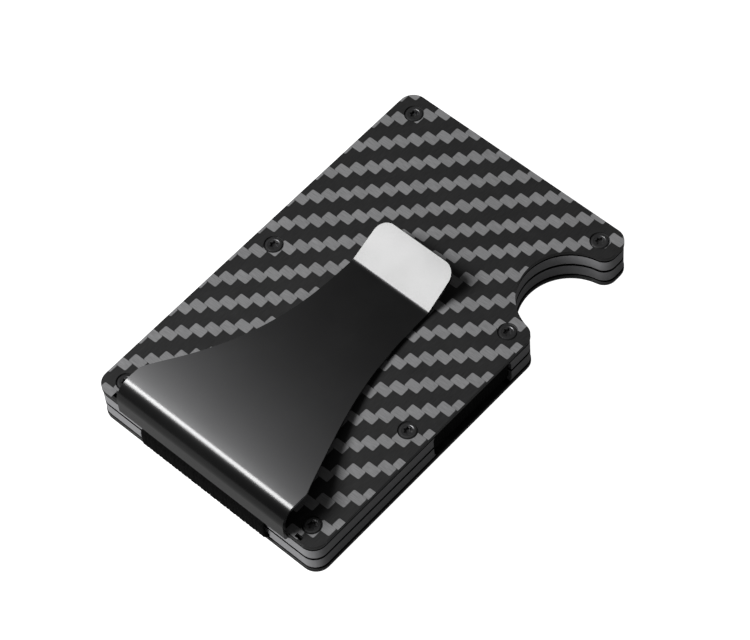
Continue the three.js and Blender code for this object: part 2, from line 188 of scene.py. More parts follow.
def fill_up(piece, depth):
    """Fills the drawn outline and gives it a depth along Z."""
    select_everything()
    bpy.ops.mesh.remove_doubles(threshold=MERGE)
    bpy.ops.mesh.edge_face_add()
    bpy.ops.mesh.extrude_region_move(TRANSFORM_OT_translate={"value": (0, 0, depth)})
    face_outwards()
    return piece


def face_outwards():
    select_everything()
    bpy.ops.mesh.remove_doubles(threshold=MERGE)
    bpy.ops.mesh.normals_make_consistent(inside=False)
    finish_edit()


def apply_modifier(piece, kind, **settings):
    modifier = piece.modifiers.new(kind.lower(), kind)
    for key, value in settings.items():
        setattr(modifier, key, value)
    pick(piece)
    bpy.ops.object.modifier_apply(modifier=modifier.name)


def cut_away(piece, cutters):
    """Takes the cutters' solids out of piece."""
    for cutter in cutters:
        apply_modifier(piece, "BOOLEAN", operation="DIFFERENCE", solver="EXACT", object=cutter)
    for cutter in cutters:
        bpy.data.objects.remove(cutter)


def soften(piece, width, segments=2, angle=28):
    """Rounds the sharp edges a little, and shades smoothly while the large faces stay flat."""
    apply_modifier(
        piece, "BEVEL", width=width, segments=segments, limit_method="ANGLE",
        angle_limit=math.radians(angle), miter_outer="MITER_ARC", use_clamp_overlap=True,
    )
    pick(piece)
    bpy.ops.object.shade_smooth_by_angle(angle=math.radians(26))
    apply_modifier(piece, "WEIGHTED_NORMAL", mode="FACE_AREA", weight=50, keep_sharp=True)


def copy_to(piece, name, matrix):
    """A copy with its own mesh, its place in its vertices."""
    copy = piece.copy()
    copy.data = piece.data.copy()
    copy.name = copy.data.name = name
    copy.data.transform(matrix)
    bpy.context.collection.objects.link(copy)
    return copy


def report(piece):
    low = [min(v.co[k] for v in piece.data.vertices) / MM for k in range(3)]
    high = [max(v.co[k] for v in piece.data.vertices) / MM for k in range(3)]
    print(f"{piece.name}: {len(piece.data.polygons)} faces,", [round(v, 2) for v in low + high])


MERGE = 1e-6

# %% [markdown]
# ## The outline that plates and frames share
#
# Seen from above, each layer is a card-sized rectangle with round corners and a thumb notch in its -Y
# side. The notch is a large arc that meets the straight side through two small fillets. Drawing it with
# the pen keeps every arc true. The frames use the same outline drawn a little smaller.

# %% Wallet outline
CORNER_RADIUS = 3 * MM
NOTCH_CENTRE = Vector((26 * MM, -26.6 * MM, 0))
NOTCH_RADIUS = 9.95 * MM
NOTCH_FILLET = 2.75 * MM


def wallet_outline(name, inset, height):
    x, y = HALF_LENGTH - inset, HALF_WIDTH - inset
    corner, notch, fillet = CORNER_RADIUS - inset, NOTCH_RADIUS + inset, NOTCH_FILLET - inset
    rise = -y + fillet - NOTCH_CENTRE.y
    reach = math.sqrt((notch + fillet) ** 2 - rise**2)
    lean = math.degrees(math.atan2(rise, reach))
    lift = Vector((0, 0, height))
    notch_centre = NOTCH_CENTRE + lift
    near = notch_centre + Vector((-reach, rise, 0))
    far = notch_centre + Vector((reach, rise, 0))
    corners = [Vector((sx * (x - corner), sy * (y - corner), height)) for sx, sy in
               ((1, -1), (1, 1), (-1, 1), (-1, -1))]
    strokes = [
        (near.x, -y, height),
        (near, 90 - lean, 8),
        (notch_centre, -(180 - 2 * lean), 48),
        (far, 90 - lean, 8),
    ]
    for centre, (dx, dy) in zip(corners, ((0, -1), (1, 0), (0, 1), (-1, 0))):
        strokes.append(tuple(centre + corner * Vector((dx, dy, 0))))
        strokes.append((centre, 90, 10))
    start = corners[3] + Vector((0, -corner, 0))
    return draw(name, start, strokes)


# %% [markdown]
# ## Cutters
#
# Holes are made by taking a solid away. A screw hole's cutter is a turned shape: we draw half of its
# section and spin it right round. A pocket or a window is a cube, given its size and place, with the
# edges along one direction bevelled where the real opening has round corners.

# %% Cutters for holes and pockets
SCREW_HEAD_RADIUS = 1.75 * MM
SCREW_SHANK_RADIUS = 1 * MM
SCREW_HEAD_HEIGHT = 0.8 * MM
SCREW_LENGTH = 3.8 * MM
CLIP_SCREW_HEAD_RADIUS = 1.35 * MM
CLIP_SCREW_SHANK_RADIUS = 0.7 * MM
CLIP_SCREW_HEAD_HEIGHT = 0.5 * MM
CLIP_SCREW_LENGTH = 1.9 * MM
SCREW_CLEARANCE = 0.15 * MM
TURN_STEPS = 40


def turned(name, section, steps=TURN_STEPS):
    """A turned solid on the Z axis, from (radius, height) pairs."""
    first, *rest = [(radius, 0, height) for radius, height in section]
    piece = draw(name, first, rest)
    select_everything()
    bpy.ops.mesh.spin(steps=steps, dupli=False, angle=math.tau, center=(0, 0, 0), axis=(0, 0, 1))
    face_outwards()
    return piece


def screw_hole(head_radius, head_height, shank_radius, depth):
    head, shank = head_radius + SCREW_CLEARANCE, shank_radius + SCREW_CLEARANCE
    return turned("hole", [
        (0, -depth), (shank, -depth), (shank, -head_height - SCREW_CLEARANCE),
        (head, -SCREW_CLEARANCE), (head, MM), (0, MM),
    ])


def block(low, high, round_axis=None, radius=0.0):
    """A cutter between two corners, with the edges along one axis rounded."""
    low, high = Vector(low), Vector(high)
    deselect()
    bpy.ops.mesh.primitive_cube_add(size=1)
    piece = bpy.context.object
    piece.name = "block"
    bpy.ops.object.mode_set(mode="EDIT")
    bpy.ops.transform.resize(value=high - low)
    bpy.ops.transform.translate(value=(low + high) / 2)
    if round_axis is not None:
        bpy.ops.mesh.select_mode(type="EDGE")
        choose(piece, "edges", lambda e: abs((e.verts[0].co - e.verts[1].co).normalized()[round_axis]) > 0.9)
        bpy.ops.mesh.bevel(offset=radius, segments=6, affect="EDGES")
    finish_edit()
    return piece


def facing(height, direction, x=0.0, y=0.0):
    """Stands a piece made with its top at z 0 at a place, facing up (1) or down (-1)."""
    turn = Matrix.Rotation(0 if direction > 0 else math.pi, 4, "X")
    return Matrix.Translation((x, y, height)) @ turn


screw_places = [
    tuple((boxes[f"upper_screw_{order}"][0] + boxes[f"upper_screw_{order}"][1]).xy / 2)
    for order in range(1, 8)
]
clip_screw_places = [
    tuple((boxes[f"clip_screw_{order}"][0] + boxes[f"clip_screw_{order}"][1]).xy / 2)
    for order in (1, 2)
]
hole = screw_hole(SCREW_HEAD_RADIUS, SCREW_HEAD_HEIGHT, SCREW_SHANK_RADIUS, SCREW_LENGTH + SCREW_CLEARANCE)
clip_hole = screw_hole(
    CLIP_SCREW_HEAD_RADIUS, CLIP_SCREW_HEAD_HEIGHT, CLIP_SCREW_SHANK_RADIUS,
    CLIP_SCREW_LENGTH + SCREW_CLEARANCE,
)


def holes_at(places, height, direction, pattern=hole):
    """One cutter with a hole's shape at each place."""
    copies = [copy_to(pattern, "holes", facing(height, direction, x, y)) for x, y in places]
    pick(*copies)
    bpy.ops.object.join()
    return bpy.context.object


print("screws at", [(round(x / MM, 2), round(y / MM, 2)) for x, y in screw_places])

# %% [markdown]
# ## Carbon plates
#
# Each plate is a sheet of laminate, routed to shape, with seven countersunk holes. The pen draws the
# outline, extrude gives it its thickness, and one Boolean takes out all the holes. A narrow bevel
# breaks every edge, so that rims and hole mouths catch the light as a routed edge does.

# %% Plates
PLATE_EDGE = 0.09 * MM
RELIEF_X = (-42.5 * MM, -41.7 * MM)
RELIEF_GAP, RELIEF_LENGTH = 1.3 * MM, 1.5 * MM


def make_plate(name, direction, slots):
    low, high = boxes[name]
    plate = fill_up(wallet_outline(name + "_visual", 0, low.z), high.z - low.z)
    outer_face = high.z if direction > 0 else low.z
    cut_away(plate, slots + [holes_at(screw_places, outer_face, direction)])
    soften(plate, PLATE_EDGE)
    report(plate)
    return plate


def relief_slots():
    """Two small slots through the upper plate, just past both ends of the clip's wall."""
    low, high = boxes["clip_base"][0].y, boxes["clip_base"][1].y
    (x0, x1), z0, z1 = RELIEF_X, TOP - 2 * MM, TOP + MM
    near, far = RELIEF_GAP, RELIEF_GAP + RELIEF_LENGTH
    return [
        block((x0, high + near, z0), (x1, high + far, z1)),
        block((x0, low - far, z0), (x1, low - near, z1)),
    ]


upper_plate = make_plate("upper_carbon_plate", 1, relief_slots())
lower_plate = make_plate("lower_carbon_plate", -1, [])

# %% [markdown]
# ## Frames
#
# Each frame is machined from aluminium. It has channels for the two bands, a window in each side
# where the cross band comes round the edge, and pockets at the clip's end. The windows' corners are
# round where the cutter ran, which we get by bevelling the cutting block before the Boolean. The edges
# next to a plate and next to the other frame are stepped back, which leaves the dark lines between the
# layers.

# %% Frames
FRAME_INSET = 0.1 * MM
FRAME_EDGE = 0.1 * MM
WINDOW_RADIUS = 1.3 * MM
REBATE_DEPTH = 0.75 * MM
GAP_REBATE, PLATE_REBATE = 0.16 * MM, 0.3 * MM
WINDOW_CLEARANCE = 0.3 * MM
CLEARANCE = 0.1 * MM
BAND_THICKNESS = 1 * MM
OVERSHOOT = 5 * MM
frame_low, frame_high = boxes["lower_frame"][0].z, boxes["upper_frame"][1].z
cross_low, cross_high = boxes["cross_band"]
end_low, end_high = boxes["end_band"]
base_low, base_high = boxes["clip_base"]
END_STRAP_TOP = base_low.z - CLEARANCE
TAB_ROOM_END = -30.6 * MM
HEM_X = (-30.2 * MM, end_high.x)
HEM_THICKNESS = 1.65 * MM


def band_cutters():
    """The room that both bands take out of the frames: windows, channels and pockets for the hems."""
    x0, x1 = cross_low.x - WINDOW_CLEARANCE, cross_high.x + WINDOW_CLEARANCE
    y0, y1 = end_low.y - WINDOW_CLEARANCE, end_high.y + WINDOW_CLEARANCE
    side = cross_high.y - BAND_THICKNESS - CLEARANCE
    end = end_low.x + BAND_THICKNESS + CLEARANCE
    deep = BAND_THICKNESS + 2 * CLEARANCE
    past = HALF_WIDTH + OVERSHOOT
    channel_start, channel_end = -HALF_WIDTH + FRAME_INSET + MM, HALF_WIDTH - MM
    low, high = frame_low - OVERSHOOT, frame_high + OVERSHOOT
    hem_end = HEM_X[1] + 2 * CLEARANCE
    return [
        block((x0, side, frame_low), (x1, past, frame_high), 1, WINDOW_RADIUS),
        block((x0, -past, frame_low), (x1, -side, frame_high), 1, WINDOW_RADIUS),
        block((x0, channel_start, frame_high - deep), (x1, channel_end, high)),
        block((x0, channel_start, low), (x1, channel_end, frame_low + deep)),
        block((-HALF_LENGTH - OVERSHOOT, y0, frame_low), (end, y1, frame_high), 0, WINDOW_RADIUS),
        block((end - MM, y0, END_STRAP_TOP - BAND_THICKNESS - CLEARANCE), (hem_end, y1, high)),
        block((end - MM, y0, low), (hem_end, y1, frame_low + deep)),
        block((HEM_X[0] - WINDOW_CLEARANCE, y0, low), (hem_end, y1, end_low.z + HEM_THICKNESS + CLEARANCE)),
    ]


def rebate(low, high):
    """A cutter that runs right round the wallet and steps the frames' edge back between two heights."""
    ring = block((-HALF_LENGTH - MM, -HALF_WIDTH - MM, low), (HALF_LENGTH + MM, HALF_WIDTH + MM, high))
    cut_away(ring, [fill_up(wallet_outline("core", REBATE_DEPTH, low - MM), high - low + 2 * MM)])
    return ring


def make_frame(name, direction, extra):
    low, high = boxes[name]
    piece = fill_up(wallet_outline(name + "_visual", FRAME_INSET, low.z), high.z - low.z)
    outer_face = TOP if direction > 0 else 0
    gap_edge, plate_edge = (low.z, high.z) if direction > 0 else (high.z, low.z)
    for edge, inwards in ((gap_edge, direction * GAP_REBATE), (plate_edge, -direction * PLATE_REBATE)):
        cut_away(piece, [rebate(min(edge, edge + inwards), max(edge, edge + inwards))])
    cut_away(piece, band_cutters() + extra + [holes_at(screw_places, outer_face, direction)])
    soften(piece, FRAME_EDGE)
    report(piece)
    return piece


tab_room = block(
    (-HALF_LENGTH - OVERSHOOT, base_low.y - WINDOW_CLEARANCE, base_low.z - CLEARANCE),
    (TAB_ROOM_END, base_high.y + WINDOW_CLEARANCE, TOP),
)
TAB_TOP = boxes["upper_carbon_plate"][0].z - CLEARANCE
upper_frame = make_frame("upper_frame", 1, [tab_room, holes_at(clip_screw_places, TAB_TOP, 1, clip_hole)])
lower_frame = make_frame("lower_frame", -1, [])

# %% [markdown]
# ## Screws
#
# The real screws are small countersunk machine screws with a six-lobe socket. We turn one head and
# shank, draw the lobed socket with arcs that run smoothly into each other, cut it in, and soften the
# rims. The fourteen plate screws are copies of this pattern, each with a mesh of its own.

# %% One screw
SOCKET_LOBE_CENTRE = 0.69 * MM
SOCKET_LOBE_RADIUS = 0.16 * MM
SOCKET_INNER_RADIUS = 0.61 * MM
SOCKET_DEPTH = 0.7 * MM
SCREW_SINK = 0.03 * MM
SCREW_EDGE = 0.03 * MM


def lobed_socket(scale, depth):
    """A cutter with six round lobes. Each hollow between two lobes is an arc that meets both smoothly."""
    lobe, small, inner = (scale * v for v in (SOCKET_LOBE_CENTRE, SOCKET_LOBE_RADIUS, SOCKET_INNER_RADIUS))
    half = math.radians(30)
    hollow_centre = (lobe**2 - (small - inner) ** 2) / (2 * (lobe * math.cos(half) + small - inner))
    lean = math.degrees(math.atan2(hollow_centre * math.sin(half), hollow_centre * math.cos(half) - lobe))
    strokes = []
    for order in range(6):
        angle = math.radians(60 * order)
        strokes.append((Vector((lobe * math.cos(angle), lobe * math.sin(angle), -depth)), 2 * lean, 6))
        angle += half
        centre = Vector((hollow_centre * math.cos(angle), hollow_centre * math.sin(angle), -depth))
        strokes.append((centre, -2 * (lean - 30), 6))
    turn = math.radians(-lean)
    start = Vector((lobe + small * math.cos(turn), small * math.sin(turn), -depth))
    return fill_up(draw("socket", start, strokes), depth + MM)


def make_screw(name, head_radius, head_height, shank_radius, length, socket_scale, socket_depth):
    screw = turned(name, [
        (0, -length), (shank_radius - 0.2 * MM, -length), (shank_radius, -length + 0.3 * MM),
        (shank_radius, -head_height), (head_radius, -0.3 * MM), (head_radius - 0.12 * MM, -0.14 * MM),
        (head_radius - 0.22 * MM, 0), (head_radius - 0.6 * MM, 0), (head_radius - 0.7 * MM, -0.05 * MM),
        (0, -0.05 * MM),
    ])
    cut_away(screw, [lobed_socket(socket_scale, socket_depth)])
    soften(screw, SCREW_EDGE)
    return screw


screw_pattern = make_screw(
    "screw_pattern", SCREW_HEAD_RADIUS, SCREW_HEAD_HEIGHT, SCREW_SHANK_RADIUS, SCREW_LENGTH, 1, SOCKET_DEPTH
)
report(screw_pattern)

# %% All the screws
upper_screws, lower_screws, clip_screws = [], [], []
for order, (x, y) in enumerate(screw_places, start=1):
    spin_in = Matrix.Rotation(math.radians(17 * order), 4, "Z")
    above, below = facing(TOP - SCREW_SINK, 1, x, y), facing(SCREW_SINK, -1, x, y)
    upper_screws.append(copy_to(screw_pattern, f"upper_screw_{order}_visual", above @ spin_in))
    lower_screws.append(copy_to(screw_pattern, f"lower_screw_{order}_visual", below @ spin_in))
clip_screw_pattern = make_screw(
    "clip_screw_pattern", CLIP_SCREW_HEAD_RADIUS, CLIP_SCREW_HEAD_HEIGHT, CLIP_SCREW_SHANK_RADIUS,
    CLIP_SCREW_LENGTH, 0.7, SOCKET_DEPTH / 2,
)
for order, (x, y) in enumerate(clip_screw_places, start=1):
    clip_screws.append(
        copy_to(clip_screw_pattern, f"clip_screw_{order}_visual", facing(TAB_TOP - SCREW_SINK, 1, x, y))
    )
for spare in (screw_pattern, clip_screw_pattern):
    bpy.data.objects.remove(spare)
print("screws:", len(upper_screws), "up,", len(lower_screws), "down,", len(clip_screws), "in the clip")

# %% [markdown]
# ## Money clip
#
# The clip is one strip of spring steel: a tab under the plate, a wall up the end, a round fold, and a
# leaf that sweeps down to the plate and turns up in a lip. We draw the middle of the sheet from the
# side, extrude it across, and then scale each row of the leaf to the width it has there. Solidify gives
# the sheet its thickness last, so both faces stay parallel round every bend.

# %% The clip's side line
SHEET = 0.7 * MM
WALL_X = -HALF_LENGTH - 0.15 * MM - SHEET / 2
TAB_MIDDLE = TAB_TOP - SHEET / 2
TAB_END = (-30.9 * MM, TAB_MIDDLE)
TAB_BEND_RADIUS = 0.75 * MM
FOLD_RADIUS = 3.05 * MM
FOLD_MIDDLE = TOP + 5.85 * MM
LEAF_START_X = -39.85 * MM
LEAF_REST = TOP + 0.2 * MM + SHEET / 2
LIP_ANGLE = math.radians(28)
LIP_BEND_RADIUS = 2.5 * MM
LIP_BEND_X = 6.4 * MM
LIP_TIP_X = 15.02 * MM
LEAF_STEPS = 40
CLIP_EDGE = 0.07 * MM

clip_half_width = (base_high.y - base_low.y) / 2
clip_middle_y = (base_high.y + base_low.y) / 2
bend_start = LIP_BEND_X - LIP_BEND_RADIUS * math.sin(LIP_ANGLE) / 2
bend_end = bend_start + LIP_BEND_RADIUS * math.sin(LIP_ANGLE)
bend_end_height = LEAF_REST + LIP_BEND_RADIUS * (1 - math.cos(LIP_ANGLE))
LEAF_SIDE_POINTS = [
    Vector((LEAF_START_X, FOLD_MIDDLE)), Vector((LEAF_START_X + 8.9 * MM, FOLD_MIDDLE)),
    Vector((bend_start - 37.2 * MM, LEAF_REST)), Vector((bend_start, LEAF_REST)),
]


def bezier(points, t):
    """A point on the curve that four points steer."""
    a, b, c, d = points
    return a * (1 - t) ** 3 + b * 3 * t * (1 - t) ** 2 + c * 3 * t**2 * (1 - t) + d * t**3


def at_side(x, z):
    return Vector((x, 0, z))


# %% [markdown]
# From above, the leaf is as wide as the tab up to its shoulders, narrows in one sweep to a waist, and
# ends in a lip with round corners. This function gives the half width at any place along X.

# %% The leaf's width
LEAF_TAPER = [
    Vector((-37.3 * MM, clip_half_width)), Vector((-19.3 * MM, 12 * MM)),
    Vector((-10.5 * MM, 9.2 * MM)), Vector((LIP_BEND_X, 9.2 * MM)),
]
LIP_HALF_WIDTH = 9.05 * MM
LIP_CORNER = 2.9 * MM
lip_corner_run = LIP_CORNER * math.cos(LIP_ANGLE)
lip_corner_start = LIP_TIP_X - lip_corner_run


def half_width(x):
    if x <= LEAF_TAPER[0].x:
        return clip_half_width
    if x < LIP_BEND_X:
        low, high = 0.0, 1.0
        for _ in range(40):
            t = (low + high) / 2
            low, high = (t, high) if bezier(LEAF_TAPER, t).x < x else (low, t)
        return bezier(LEAF_TAPER, t).y
    if x < lip_corner_start:
        share = (x - LIP_BEND_X) / (lip_corner_start - LIP_BEND_X)
        return LEAF_TAPER[3].y + share * (LIP_HALF_WIDTH - LEAF_TAPER[3].y)
    run = min(1.0, (x - lip_corner_start) / lip_corner_run)
    return LIP_HALF_WIDTH - LIP_CORNER + LIP_CORNER * math.sqrt(1 - run**2)


print("half width at x -30, -10 and 14 mm:", [round(half_width(x * MM) / MM, 2) for x in (-30, -10, 14)])

# %% Draw, widen, thicken
leaf_rows = [bezier(LEAF_SIDE_POINTS, step / LEAF_STEPS) for step in range(1, LEAF_STEPS + 1)]
lip_rows = [bend_end + share * (lip_corner_start - bend_end) for share in (0.35, 0.7, 1)]
lip_rows += [lip_corner_start + lip_corner_run * math.sin(math.radians(9 * step)) for step in range(1, 11)]

strokes = [tuple(at_side(WALL_X + TAB_BEND_RADIUS, TAB_MIDDLE))]
strokes.append((at_side(WALL_X + TAB_BEND_RADIUS, TAB_MIDDLE + TAB_BEND_RADIUS), 90, 10))
strokes.append(tuple(at_side(WALL_X, FOLD_MIDDLE - FOLD_RADIUS)))
strokes.append((at_side(WALL_X + FOLD_RADIUS, FOLD_MIDDLE - FOLD_RADIUS), 90, 24))
strokes.append(tuple(at_side(LEAF_START_X, FOLD_MIDDLE)))
strokes += [tuple(at_side(row.x, row.y)) for row in leaf_rows]
strokes.append((at_side(bend_start, LEAF_REST + LIP_BEND_RADIUS), -math.degrees(LIP_ANGLE), 8))
strokes += [tuple(at_side(x, bend_end_height + (x - bend_end) * math.tan(LIP_ANGLE))) for x in lip_rows]

clip = draw("money_clip", at_side(*TAB_END), strokes, axis=(0, 1, 0))
select_everything()
bpy.ops.transform.translate(value=(0, clip_half_width, 0))
bpy.ops.mesh.extrude_edges_move(TRANSFORM_OT_translate={"value": (0, -2 * clip_half_width, 0)})
bpy.ops.mesh.select_mode(type="VERT")
on_leaf = lambda v: v.co.x > LEAF_TAPER[0].x + 0.01 * MM and v.co.z > TOP
row_places = sorted({round(v.co.x, 6) for v in bmesh.from_edit_mesh(clip.data).verts if on_leaf(v)})
for place in row_places:
    choose(clip, "verts", lambda v: on_leaf(v) and abs(v.co.x - place) < 2e-6)
    factor = half_width(place) / clip_half_width
    bpy.ops.transform.resize(value=(1, factor, 1), center_override=(0, 0, 0))
select_everything()
bpy.ops.transform.translate(value=(0, clip_middle_y, 0))
finish_edit()
apply_modifier(clip, "SOLIDIFY", thickness=SHEET, offset=0, use_even_offset=True)
pick(clip)
bpy.ops.object.mode_set(mode="EDIT")
bpy.ops.mesh.select_mode(type="VERT")
face_outwards()
cut_away(clip, [holes_at(clip_screw_places, TAB_TOP, 1, clip_hole)])
bpy.data.objects.remove(clip_hole)
soften(clip, CLIP_EDGE, segments=3)
report(clip)

# %% [markdown]
# ## Elastic bands
#
# Both bands are ribbed elastic webbing, a millimetre thick. The ribs run along the band's length, so we
# draw the band's path from the side, extrude it across its width, cut it into narrow strips, and push
# every rib's crest outwards along its normals. Solidify then makes a wall of it. The path has extra
# points where the band stands upright, because it stretches there when the halves part.

# %% Bands
RIB_PITCH = 0.79 * MM
RIB_HEIGHT = 0.13 * MM
STRIPS_PER_RIB = 4
BAND_BEND_RADIUS = 1.3 * MM
UPRIGHT_STEPS = 6


def ribbed_strap(name, start, strokes, axis, across):
    """Extrudes a path across a width, and gives it ribs along its length and a thickness."""
    strap = draw(name, start, strokes, axis)
    select_everything()
    bpy.ops.mesh.remove_doubles(threshold=MERGE)
    bpy.ops.mesh.extrude_edges_move(TRANSFORM_OT_translate={"value": across})
    ribs = round(across.length / RIB_PITCH)
    strips = ribs * STRIPS_PER_RIB
    bpy.ops.mesh.select_mode(type="EDGE")
    direction = across.normalized()
    choose(strap, "edges", lambda e: abs((e.verts[0].co - e.verts[1].co).dot(direction)) > across.length / 2)
    bpy.ops.mesh.subdivide(number_cuts=strips - 1)
    select_everything()
    bpy.ops.mesh.normals_make_consistent(inside=False)
    bpy.ops.mesh.select_mode(type="VERT")
    origin = min((v.co.dot(direction) for v in bmesh.from_edit_mesh(strap.data).verts))
    step = across.length / strips
    for phases, height in (((1, 3), 0.72), ((2,), 1.0)):
        choose(strap, "verts", lambda v: (
            round((v.co.dot(direction) - origin) / step) % STRIPS_PER_RIB in phases
        ))
        bpy.ops.transform.shrink_fatten(value=height * RIB_HEIGHT)
    finish_edit()
    print(f"{name}: {ribs} ribs, {strips} strips")
    apply_modifier(strap, "SOLIDIFY", thickness=BAND_THICKNESS - RIB_HEIGHT, offset=-1, use_even_offset=True)
    report(strap)
    return strap


def upright(x, y, z_from, z_to):
    return [(x, y, z_from + (z_to - z_from) * step / UPRIGHT_STEPS) for step in range(1, UPRIGHT_STEPS + 1)]


def loop_strokes():
    """The cross band's closed path, as seen along X."""
    x, r = cross_low.x, BAND_BEND_RADIUS
    y = cross_high.y - r - RIB_HEIGHT
    low, high = cross_low.z + r + RIB_HEIGHT, cross_high.z - r - RIB_HEIGHT
    start = (x, -y, low - r)
    return start, [
        (x, y, low - r), (Vector((x, y, low)), 90, 6), *upright(x, y + r, low, high),
        (Vector((x, y, high)), 90, 6), (x, -y, high + r), (Vector((x, -y, high)), 90, 6),
        *upright(x, -y - r, high, low), (Vector((x, -y, low)), 90, 6),
    ]


start, strokes = loop_strokes()
cross_band = ribbed_strap(
    "cross_band_webbing", start, strokes, (1, 0, 0), Vector((cross_high.x - cross_low.x, 0, 0))
)


def strap_strokes():
    """The end band's open path, as seen along Y."""
    y, r = end_low.y, BAND_BEND_RADIUS
    x = end_low.x + r + RIB_HEIGHT
    low, high = end_low.z + r + RIB_HEIGHT, END_STRAP_TOP - r - RIB_HEIGHT
    start = (HEM_X[1], y, high + r)
    return start, [
        (x, y, high + r), (Vector((x, y, high)), -90, 6), *upright(x - r, y, high, low),
        (Vector((x, y, low)), -90, 6), (HEM_X[1], y, low - r),
    ]


start, strokes = strap_strokes()
end_band = ribbed_strap(
    "end_band_webbing", start, strokes, (0, 1, 0), Vector((0, end_high.y - end_low.y, 0))
)

# %% [markdown]
# The screw in the middle of the far side goes through the cross band and pins it, so the band gets a
# round hole as wide as the screw's head.

# %% Pin the cross band
PIN_HOLE_RADIUS = SCREW_HEAD_RADIUS
pin_x, pin_y = screw_places[1]
deselect()
bpy.ops.mesh.primitive_cylinder_add(
    vertices=32, radius=PIN_HOLE_RADIUS, depth=3 * TOP, location=(pin_x, pin_y, TOP / 2)
)
pin_cutter = bpy.context.object
bpy.ops.object.transform_apply(location=True, rotation=True, scale=True)
cut_away(cross_band, [pin_cutter])
bpy.data.objects.remove(hole)
report(cross_band)
for band in (cross_band, end_band):
    pick(band)
    bpy.ops.object.shade_smooth_by_angle(angle=math.radians(60))

# %% [markdown]
# ## Building materials from nodes
#
# Every finish below is procedural. Helpers keep the node work short: one adds a node and plugs in its
# inputs, one does arithmetic, and the rest are steps that come up often. The cloth and the wear marks
# are node groups with named inputs and outputs.

# %% Node helpers
def plug_in(tree, made, inputs):
    """Gives a node's inputs their values, or links to other nodes' outputs."""
    for key, value in inputs.items():
        if isinstance(value, bpy.types.NodeSocket):
            tree.links.new(value, made.inputs[key])
        else:
            made.inputs[key].default_value = value
    return made


def add(tree, kind, inputs=None, **settings):
    """Adds a node, changes its settings and plugs in its inputs. Returns the node."""
    made = tree.nodes.new("ShaderNode" + kind)
    for key, value in settings.items():
        setattr(made, key, value)
    return plug_in(tree, made, inputs or {})


def calc(tree, operation, *values):
    """One arithmetic step; returns its output."""
    return add(tree, "Math", dict(enumerate(values)), operation=operation).outputs[0]


def times(tree, value, factor):
    return calc(tree, "MULTIPLY", value, factor)


def fitted(tree, value, factor, offset):
    """The value times a factor, plus an offset."""
    return calc(tree, "MULTIPLY_ADD", value, factor, offset)


def noise(tree, vector, scale, detail, **more):
    """A noise texture's value."""
    made = add(tree, "TexNoise", {"Vector": vector, "Scale": scale, "Detail": detail, **more})
    return made.outputs[0]


def off_from(tree, value, middle):
    return calc(tree, "ABSOLUTE", calc(tree, "SUBTRACT", value, middle))


def scaled(tree, vector, *factors):
    """Multiplies a vector's three parts; small factors stretch a pattern, large ones squeeze it."""
    return add(tree, "VectorMath", {0: vector, 1: factors}, operation="MULTIPLY").outputs[0]


def in_millimetres(tree, vector):
    return scaled(tree, vector, 1 / MM, 1 / MM, 1 / MM)


def mixed(tree, factor, first, second):
    """The first value where factor is 0, the second where it is 1."""
    return add(tree, "Mix", {0: factor, 2: first, 3: second}).outputs[0]


def ramp(tree, value, low, high, to_low=0.0, to_high=1.0):
    """Maps a stretch of a value smoothly onto another."""
    limits = {"Value": value, "From Min": low, "From Max": high, "To Min": to_low, "To Max": to_high}
    return add(tree, "MapRange", limits, interpolation_type="SMOOTHSTEP").outputs["Result"]


def height_of(tree, place):
    return add(tree, "SeparateXYZ", {0: place}).outputs["Z"]


def set_base(tree, shader, value, blue=1.02):
    """A grey base colour, a touch bluer than neutral."""
    tint = times(tree, value, blue)
    colour = add(tree, "CombineColor", {0: value, 1: value, 2: tint})
    tree.links.new(colour.outputs[0], shader.inputs["Base Color"])


def set_bump(tree, shader, height, strength, distance):
    bump = add(tree, "Bump", {"Strength": strength, "Distance": distance, "Height": height})
    tree.links.new(bump.outputs[0], shader.inputs["Normal"])


def object_coordinates(tree):
    return add(tree, "TexCoord").outputs["Object"]


def new_group(name, inputs, outputs):
    """A node group with a Vector input and the named values, and its two end nodes."""
    tree = bpy.data.node_groups.new(name, "ShaderNodeTree")
    tree.interface.new_socket(name="Vector", in_out="INPUT", socket_type="NodeSocketVector")
    for socket, default in inputs.items():
        made = tree.interface.new_socket(name=socket, in_out="INPUT", socket_type="NodeSocketFloat")
        made.default_value = default
    for socket in outputs:
        tree.interface.new_socket(name=socket, in_out="OUTPUT", socket_type="NodeSocketFloat")
    return tree, tree.nodes.new("NodeGroupInput"), tree.nodes.new("NodeGroupOutput")


def use_group(tree, group, inputs):
    made = tree.nodes.new("ShaderNodeGroup")
    made.node_tree = group
    return plug_in(tree, made, inputs)


def new_material(name, **constants):
    """A material with its Principled shader; constants are set on the shader's own sockets."""
    material = bpy.data.materials.new(name)
    material.use_nodes = True
    tree = material.node_tree
    shader = tree.nodes["Principled BSDF"]
    for key, value in constants.items():
        shader.inputs[key.replace("_", " ")].default_value = value
    return material, tree, shader


# %% [markdown]
# ## Node group: carbon twill
#
# Twill cloth is two sets of flat tows, one along X and one along Y. Each goes over two and under two,
# a step further on in the next row, which draws diagonals. We number the tows with floor, add the two
# numbers, and the remainder by four says which tow is on top. Where a Y tow is on top, the local
# position along and across it gives a block with round corners, and a low pillow of relief.

# %% Group: carbon twill
WEAVE_WANDER = 0.34  # mm that tows stray from straight
WEAVE_SLANT = 0.0125  # the cloth lies a hair off square
WEAVE_PHASE = (1.834, 0.254)  # in tows; which tow the cut sheet starts on
BLOCK_HALF_WIDTH, BLOCK_HALF_LENGTH = 0.66, 1.17  # mm, up to where a block's round corners begin


